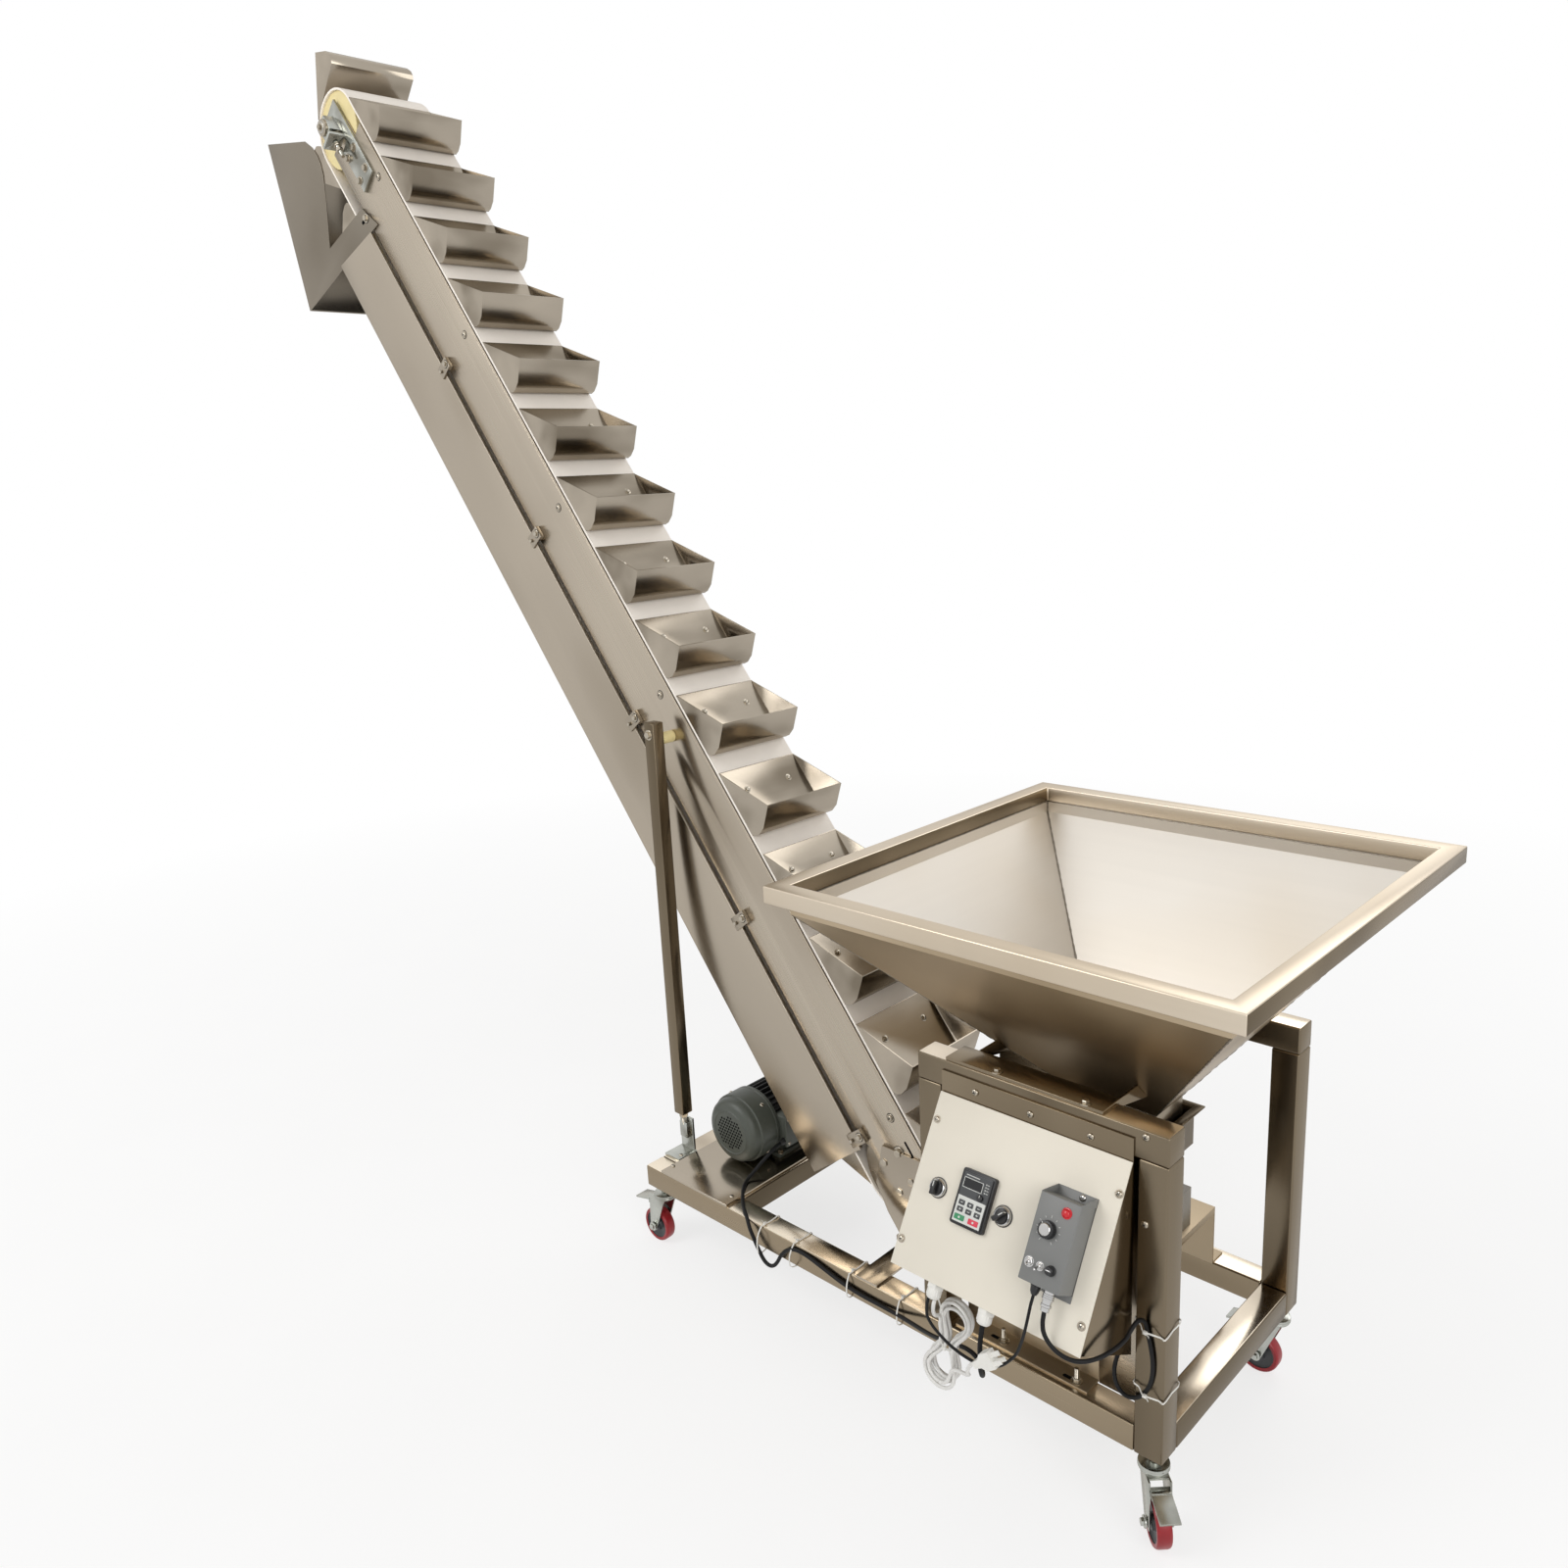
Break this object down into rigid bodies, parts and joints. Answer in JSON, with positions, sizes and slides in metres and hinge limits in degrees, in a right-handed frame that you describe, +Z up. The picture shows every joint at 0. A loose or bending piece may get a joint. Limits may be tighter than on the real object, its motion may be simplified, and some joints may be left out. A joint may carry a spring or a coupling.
{
  "type": "bucket elevator",
  "caption": "Wheeled inclined bucket elevator: a square hopper feeds a vibrating tray, buckets on a belt lift grain to a head chute, with a control cabinet.",
  "frame": {"origin": "on the floor, under the middle of the footprint box of everything but the cords", "axes": "+X from the discharge chute towards the hopper, +Y away from the control panel, +Z up"},
  "size_m": [2.9412, 0.876, 2.8073],
  "materials": {
    "stainless": "brushed stainless sheet and tube",
    "panel_paint": "cream satin paint",
    "controller_paint": "grey hammered paint",
    "motor_paint": "grey-green paint",
    "hammered_grey": "hammered grey paint",
    "belt_pvc": "cream white belt",
    "nylon": "cream nylon",
    "zinc": "bright zinc plate",
    "shaft_steel": "turned steel",
    "black_plastic": "black plastic",
    "white_plastic": "white plastic",
    "black_cable": "black cable jacket",
    "white_cable": "white cable jacket",
    "wheel_pu": "dark red polyurethane"
  },
  "bodies": {
    "machine": {"base_rails": "stainless", "base_cross": "stainless", "motor_plate": "stainless", "portal_posts": "stainless", "portal_rails": "stainless", "post_sheet": "stainless", "feeder_stand": "stainless", "feeder_base": "hammered_grey", "feeder_springs": "hammered_grey", "tray": "stainless", "hopper_rim": "stainless", "hopper_cone": "stainless", "hopper_neck": "stainless", "hopper_brackets": "stainless", "side_plates": "stainless", "frame_ties": "stainless", "return_guard": "stainless", "guard_clips": "stainless", "belt": "belt_pvc", "pulleys": "nylon", "shafts": "shaft_steel", "takeups": "zinc", "boot_brackets": "stainless", "buckets_carry": "stainless", "buckets_turn": "stainless", "buckets_return": "stainless", "chute": "stainless", "struts": "stainless", "strut_feet": "zinc", "strut_spacers": "nylon", "motor": "motor_paint", "fan_cowl": "motor_paint", "gearbox": "motor_paint", "chain_guard": "stainless", "cabinet": "stainless", "control_panel": "panel_paint", "keypad": "black_plastic", "controller_box": "controller_paint", "controller_connectors": "zinc", "selector_bezels": "zinc", "cable_glands": "white_plastic", "caster_stems": "zinc", "motor_cable": "black_cable", "link_cord": "black_cable", "feeder_cord": "black_cable", "mains_lead": "white_cable", "cable_hank": "white_cable", "mains_plug": "white_plastic"},
    "fork_nl": {"fork_nl": "zinc"},
    "fork_nr": {"fork_nr": "zinc"},
    "fork_fl": {"fork_fl": "zinc"},
    "fork_fr": {"fork_fr": "zinc"},
    "wheel_nl": {"wheel_nl": "wheel_pu"},
    "wheel_nr": {"wheel_nr": "wheel_pu"},
    "wheel_fl": {"wheel_fl": "wheel_pu"},
    "wheel_fr": {"wheel_fr": "wheel_pu"},
    "selector_left": {"selector_left": "black_plastic"},
    "selector_right": {"selector_right": "black_plastic"},
    "dial_knob": {"dial_knob": "black_plastic"}
  },
  "joints": [
    {"name": "caster_nl_swivel", "type": "hinge", "parent": "machine", "child": "fork_nl", "pos_m": [0.04461, -0.2355, 0.127], "axis": [0, 0, 1], "continuous": true},
    {"name": "caster_nl_roll", "type": "hinge", "parent": "fork_nl", "child": "wheel_nl", "pos_m": [0.01661, -0.2355, 0.04], "axis": [0, -1, 0], "continuous": true},
    {"name": "caster_nr_swivel", "type": "hinge", "parent": "machine", "child": "fork_nr", "pos_m": [1.26361, -0.2355, 0.127], "axis": [0, 0, 1], "continuous": true},
    {"name": "caster_nr_roll", "type": "hinge", "parent": "fork_nr", "child": "wheel_nr", "pos_m": [1.28341, -0.2553, 0.04], "axis": [0.7071, 0.7071, 0], "continuous": true},
    {"name": "caster_fl_swivel", "type": "hinge", "parent": "machine", "child": "fork_fl", "pos_m": [0.04461, 0.2355, 0.127], "axis": [0, 0, 1], "continuous": true},
    {"name": "caster_fl_roll", "type": "hinge", "parent": "fork_fl", "child": "wheel_fl", "pos_m": [0.01661, 0.2355, 0.04], "axis": [0, -1, 0], "continuous": true},
    {"name": "caster_fr_swivel", "type": "hinge", "parent": "machine", "child": "fork_fr", "pos_m": [1.26361, 0.2355, 0.127], "axis": [0, 0, 1], "continuous": true},
    {"name": "caster_fr_roll", "type": "hinge", "parent": "fork_fr", "child": "wheel_fr", "pos_m": [1.23561, 0.2355, 0.04], "axis": [0, -1, 0], "continuous": true},
    {"name": "selector_left_turn", "type": "hinge", "parent": "machine", "child": "selector_left", "pos_m": [0.92261, -0.34959, 0.54666], "axis": [0, -0.8634, 0.5045], "range_deg": [-60, 60]},
    {"name": "selector_right_turn", "type": "hinge", "parent": "machine", "child": "selector_right", "pos_m": [1.05161, -0.34959, 0.54666], "axis": [0, -0.8634, 0.5045], "range_deg": [-60, 60]},
    {"name": "dial_knob_turn", "type": "hinge", "parent": "machine", "child": "dial_knob", "pos_m": [1.15761, -0.38641, 0.58671], "axis": [0, -0.8634, 0.5045], "range_deg": [-150, 150]}
  ]
}
